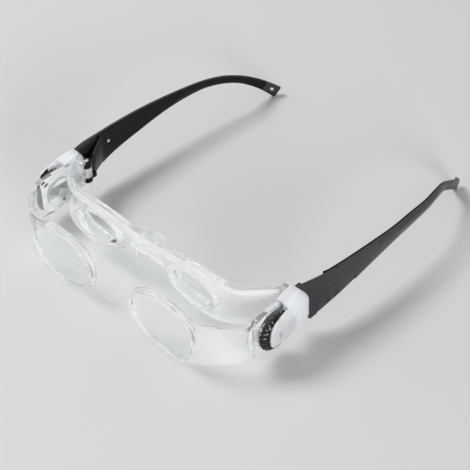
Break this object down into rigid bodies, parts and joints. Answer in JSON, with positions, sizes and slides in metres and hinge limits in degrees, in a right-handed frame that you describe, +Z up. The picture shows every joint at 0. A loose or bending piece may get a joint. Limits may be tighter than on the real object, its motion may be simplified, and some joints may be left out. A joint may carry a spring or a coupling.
{
  "type": "binocular glasses",
  "caption": "Spectacle-worn distance viewer: clear rear frame with small oval eyepieces, clear sliding carriers with large oval objectives, knurled side wheels and folding dark temples.",
  "frame": {"origin": "on the table plane, at the middle of the bounding box in plan, between the two temples", "axes": "+X towards the wearer's left, +Y from the objective lenses back to the ear tips, +Z up from the table"},
  "size_m": [0.1612, 0.1952, 0.0346],
  "materials": {
    "clear_plastic": "clear injection-moulded polycarbonate, polished",
    "lens": "clear optical acrylic, polished and coated",
    "milky_plastic": "milky translucent polycarbonate with a faint blue cast, satin",
    "anthracite_plastic": "anthracite nylon, satin with glossy edges",
    "black_plastic": "glossy black knurl",
    "steel": "turned stainless steel",
    "silicone": "frosty translucent silicone"
  },
  "bodies": {
    "frame": {"rear_frame": "clear_plastic", "nose_saddle": "silicone", "eyepiece_lens_left": "lens", "end_cap_left": "milky_plastic", "cap_screw_upper_left": "steel", "cap_screw_lower_left": "steel", "guide_disc_left": "clear_plastic", "wave_washer_left": "steel", "axle_screw_left": "steel", "eyepiece_lens_right": "lens", "end_cap_right": "milky_plastic", "cap_screw_upper_right": "steel", "cap_screw_lower_right": "steel", "guide_disc_right": "clear_plastic", "wave_washer_right": "steel", "axle_screw_right": "steel"},
    "carrier_left": {"carrier_left": "clear_plastic", "objective_lens_left": "lens"},
    "wheel_left": {"focus_wheel_left": "black_plastic", "wheel_hub_left": "black_plastic"},
    "temple_left": {"temple_shell_left": "anthracite_plastic", "temple_core_left": "anthracite_plastic", "temple_tip_left": "anthracite_plastic", "temple_rivet_left": "steel", "hinge_pin_left": "steel"},
    "carrier_right": {"carrier_right": "clear_plastic", "objective_lens_right": "lens"},
    "wheel_right": {"focus_wheel_right": "black_plastic", "wheel_hub_right": "black_plastic"},
    "temple_right": {"temple_shell_right": "anthracite_plastic", "temple_core_right": "anthracite_plastic", "temple_tip_right": "anthracite_plastic", "temple_rivet_right": "steel", "hinge_pin_right": "steel"}
  },
  "joints": [
    {"name": "temple_left_fold", "type": "hinge", "parent": "frame", "child": "temple_left", "pos_m": [0.07, -0.047, 0.0215], "axis": [0, 0, 1], "range_deg": [0, 90]},
    {"name": "wheel_left_turn", "type": "hinge", "parent": "frame", "child": "wheel_left", "pos_m": [0.0761, -0.0656, 0.0191], "axis": [1, 0, 0], "range_deg": [-60, 60]},
    {"name": "carrier_left_slide", "type": "slide", "parent": "frame", "child": "carrier_left", "axis": [0, 1, 0], "range_m": [-0.0029, 0.0029]},
    {"name": "temple_right_fold", "type": "hinge", "parent": "frame", "child": "temple_right", "pos_m": [-0.07, -0.047, 0.0215], "axis": [0, 0, -1], "range_deg": [0, 82]},
    {"name": "wheel_right_turn", "type": "hinge", "parent": "frame", "child": "wheel_right", "pos_m": [-0.0761, -0.0656, 0.0191], "axis": [1, 0, 0], "range_deg": [-60, 60]},
    {"name": "carrier_right_slide", "type": "slide", "parent": "frame", "child": "carrier_right", "axis": [0, 1, 0], "range_m": [-0.0029, 0.0029]}
  ],
  "couplings": [
    {"joint": "wheel_left_turn", "follows": "carrier_left_slide", "rad_per_m": 357.14},
    {"joint": "wheel_right_turn", "follows": "carrier_right_slide", "rad_per_m": 357.14}
  ]
}
